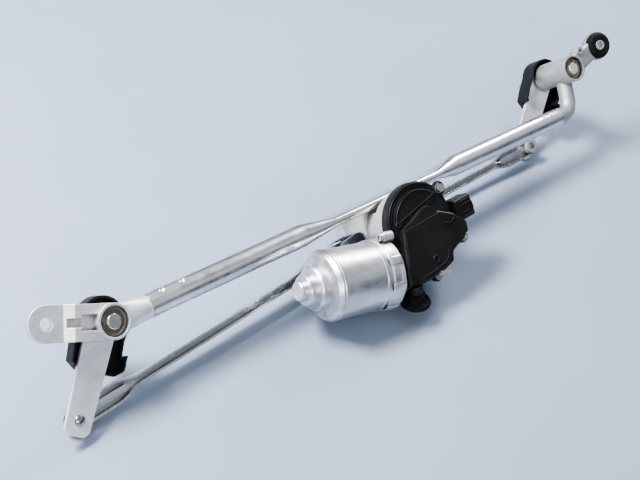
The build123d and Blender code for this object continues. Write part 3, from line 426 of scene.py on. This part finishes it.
def connector_ribs():
    """Grip ribs and latch bar on the socket's near side."""
    place = frame_at((OUTPUT.x + 53, OUTPUT.y - 3, 13.5), (0, 0, 1), (0.99, 0.05, 0))
    turn = place @ Matrix.Rotation(math.radians(90), 4, "Y")
    bm = bmesh.new()
    for v in (-7.0, -3.5, 3.5, 7.0):
        rounded_bar(bm, [(-8.6, v), (-6.5, v), (0.0, v), (3.5, v), (5.0, v)], 1.1, 0.7, 9.0)
    rounded_bar(bm, [(-9.3, -4.6), (-9.3, -2.0), (-9.3, 2.0), (-9.3, 4.6)], 1.2, 1.8, 9.0)
    piece("connector_ribs", bm, turn, "connector_plastic")


cover_details()
yoke_crimps()
grommet_lip()
connector_ribs()


# ---- floor, light and camera ----
def make_floor():
    mesh = bpy.data.meshes.new("floor")
    bm = bmesh.new()
    bmesh.ops.create_grid(bm, x_segments=24, y_segments=24, size=6.0)
    bm.to_mesh(mesh)
    bm.free()
    floor = bpy.data.objects.new("floor", mesh)
    bpy.context.scene.collection.objects.link(floor)
    floor.location.z = -0.0002
    n = Nodes("floor_paper")
    n.link(n.ramp(n.noise(3, 3), [(0.3, (0.30, 0.35, 0.44)), (0.7, (0.33, 0.38, 0.47))]),
           n.shader.inputs["Base Color"])
    n.shader.inputs["Roughness"].default_value = 0.85
    n.relief([(n.noise(800, 3), 0.00003)])
    mesh.materials.append(n.material)


def area_light(name, place, size, power):
    """Rectangular lamp aimed at the middle of the part."""
    data = bpy.data.lights.new(name, "AREA")
    data.shape = "RECTANGLE"
    data.size, data.size_y = size
    data.energy = power
    lamp = bpy.data.objects.new(name, data)
    bpy.context.scene.collection.objects.link(lamp)
    lamp.location = place
    lamp.rotation_euler = (Vector((0, 0, 0.05)) - Vector(place)).to_track_quat("-Z", "Y").to_euler()


def make_lights():
    world = bpy.data.worlds.new("studio")
    bpy.context.scene.world = world
    world.use_nodes = True
    tree = world.node_tree
    coord = tree.nodes.new("ShaderNodeTexCoord")
    split = tree.nodes.new("ShaderNodeSeparateXYZ")
    ramp = tree.nodes.new("ShaderNodeValToRGB")
    tree.links.new(coord.outputs["Generated"], split.inputs[0])
    tree.links.new(split.outputs["Z"], ramp.inputs["Fac"])
    stops = [(0.0, 0.16), (0.22, 0.10), (0.42, 0.40), (0.62, 1.05), (0.80, 0.30), (1.0, 0.75)]
    while len(ramp.color_ramp.elements) < len(stops):
        ramp.color_ramp.elements.new(0.5)
    for element, (at, level) in zip(ramp.color_ramp.elements, stops):
        element.position = at
        element.color = (level * 0.86, level * 0.92, level, 1)
    back = tree.nodes["Background"]
    tree.links.new(ramp.outputs["Color"], back.inputs["Color"])
    back.inputs["Strength"].default_value = 0.62
    area_light("key", (-0.7, 0.6, 1.2), (0.5, 0.35), 29)
    area_light("fill", (-1.0, -1.1, 0.8), (0.9, 0.3), 6)
    area_light("rim", (1.1, 0.5, 0.8), (0.2, 0.9), 9)


def make_camera():
    data = bpy.data.cameras.new("photo_view")
    data.sensor_width = 36.0
    data.lens = 56.25
    data.clip_start = 0.02
    camera = bpy.data.objects.new("photo_view", data)
    bpy.context.scene.collection.objects.link(camera)
    right = Vector((0.764907, -0.630004, 0.134212))
    up = Vector((0.350063, 0.581474, 0.734400))
    back = Vector((-0.540716, -0.514765, 0.665315))
    turn = Matrix((right, up, back)).transposed().to_4x4()
    camera.matrix_world = Matrix.Translation((-0.554706, -0.453112, 0.633419)) @ turn
    bpy.context.scene.camera = camera


make_floor()
make_lights()
make_camera()
bpy.context.scene.view_settings.view_transform = "AgX"
bpy.context.scene.view_settings.look = "AgX - High Contrast"
bpy.context.scene.view_settings.exposure = 0.35
